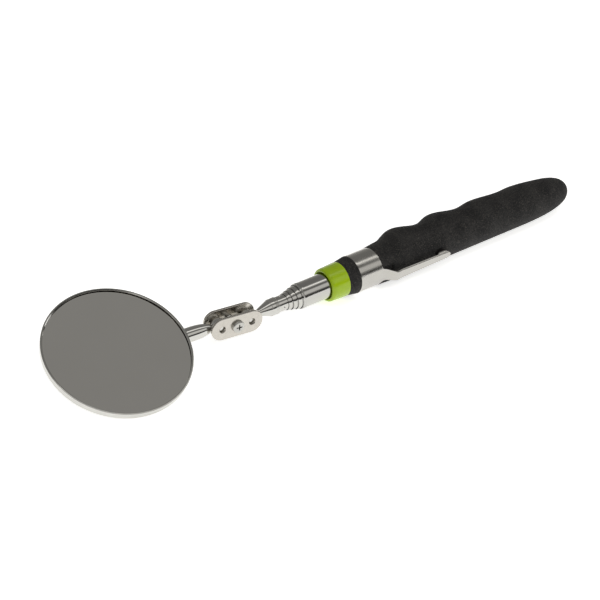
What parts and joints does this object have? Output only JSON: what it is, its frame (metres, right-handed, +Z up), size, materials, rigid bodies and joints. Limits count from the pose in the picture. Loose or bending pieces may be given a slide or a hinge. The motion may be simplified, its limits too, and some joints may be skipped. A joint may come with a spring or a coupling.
{
  "type": "telescoping inspection mirror",
  "caption": "Round mirror on a swivelling double ball joint, carried by a telescopic pole with a soft finger-grooved handle and a pocket clip.",
  "frame": {"origin": "on the pole's axis, in the middle of the bare barrel between the handle's collar and the barrel's mouth", "axes": "+X along the pole towards the mirror, +Z up with the pole lying level on a table, +Y to the side that carries the pocket clip"},
  "size_m": [0.2509, 0.0531, 0.0256],
  "materials": {
    "foam": "closed-cell foam, fine matt skin",
    "collar_plastic": "glossy lime green",
    "clip_steel": "bright plated spring steel",
    "barrel_chrome": "polished chrome plate",
    "section_chrome": "polished chrome plate",
    "bush_bronze": "bare spring bronze",
    "plug_plastic": "black moulded plastic",
    "stud_chrome": "turned and nickel plated",
    "plate_nickel": "tumbled and nickel plated",
    "screw_steel": "bright nickel plated",
    "rim_chrome": "polished chrome plate",
    "pad_foam": "black adhesive foam tape",
    "mirror_silver": "silvered float glass"
  },
  "bodies": {
    "handle": {"foam_grip": "foam", "front_collar": "collar_plastic", "clip_band": "clip_steel", "barrel_tube": "barrel_chrome", "tube_plug": "plug_plastic"},
    "clip": {"clip_tongue": "clip_steel"},
    "bush_1": {"friction_bush_1": "bush_bronze"},
    "section_1": {"section_tube_1": "section_chrome"},
    "bush_2": {"friction_bush_2": "bush_bronze"},
    "section_2": {"section_tube_2": "section_chrome"},
    "bush_3": {"friction_bush_3": "bush_bronze"},
    "section_3": {"section_tube_3": "section_chrome"},
    "bush_4": {"friction_bush_4": "bush_bronze"},
    "tip": {"tip_tube": "section_chrome", "pole_stud": "stud_chrome"},
    "link": {"clamp_plate_front": "plate_nickel", "clamp_plate_rear": "plate_nickel", "clamp_nut": "screw_steel"},
    "screw": {"clamp_screw": "screw_steel"},
    "ball": {"mirror_ball": "stud_chrome"},
    "mirror": {"mirror_stem": "stud_chrome", "mirror_cup": "rim_chrome", "mirror_pad": "pad_foam", "mirror_glass": "mirror_silver"}
  },
  "joints": [
    {"name": "section_1_slide", "type": "slide", "parent": "handle", "child": "bush_1", "axis": [1, 0, 0], "range_m": [0, 0.12]},
    {"name": "section_1_spin", "type": "hinge", "parent": "bush_1", "child": "section_1", "pos_m": [0, 0, 0], "axis": [1, 0, 0], "continuous": true},
    {"name": "section_2_slide", "type": "slide", "parent": "section_1", "child": "bush_2", "axis": [1, 0, 0], "range_m": [0, 0.12]},
    {"name": "section_2_spin", "type": "hinge", "parent": "bush_2", "child": "section_2", "pos_m": [0, 0, 0], "axis": [1, 0, 0], "continuous": true},
    {"name": "section_3_slide", "type": "slide", "parent": "section_2", "child": "bush_3", "axis": [1, 0, 0], "range_m": [0, 0.12]},
    {"name": "section_3_spin", "type": "hinge", "parent": "bush_3", "child": "section_3", "pos_m": [0, 0, 0], "axis": [1, 0, 0], "continuous": true},
    {"name": "tip_slide", "type": "slide", "parent": "section_3", "child": "bush_4", "axis": [1, 0, 0], "range_m": [0, 0.12]},
    {"name": "tip_spin", "type": "hinge", "parent": "bush_4", "child": "tip", "pos_m": [0, 0, 0], "axis": [1, 0, 0], "continuous": true},
    {"name": "link_swing", "type": "hinge", "parent": "tip", "child": "link", "pos_m": [0.03, 0, 0], "axis": [0.1045, 0.9945, 0], "range_deg": [-80, 80]},
    {"name": "mirror_swing", "type": "hinge", "parent": "link", "child": "ball", "pos_m": [0.04272, -0.00134, 0.00056], "axis": [0.1045, 0.9945, 0], "range_deg": [-80, 80]},
    {"name": "mirror_spin", "type": "hinge", "parent": "ball", "child": "mirror", "pos_m": [0.04272, -0.00134, 0.00056], "axis": [0.9945, -0.1045, 0], "continuous": true},
    {"name": "screw_turn", "type": "hinge", "parent": "link", "child": "screw", "pos_m": [0.03636, -0.00067, 0.00028], "axis": [0.1045, 0.9945, 0], "range_deg": [-45, 360]},
    {"name": "clip_flex", "type": "hinge", "parent": "handle", "child": "clip", "pos_m": [-0.0311, 0.00756, -0.00073], "axis": [0, -0.0958, -0.9954], "range_deg": [0, 6], "stiffness_Nm_per_rad": 0.1, "springref_deg": -1.15}
  ]
}
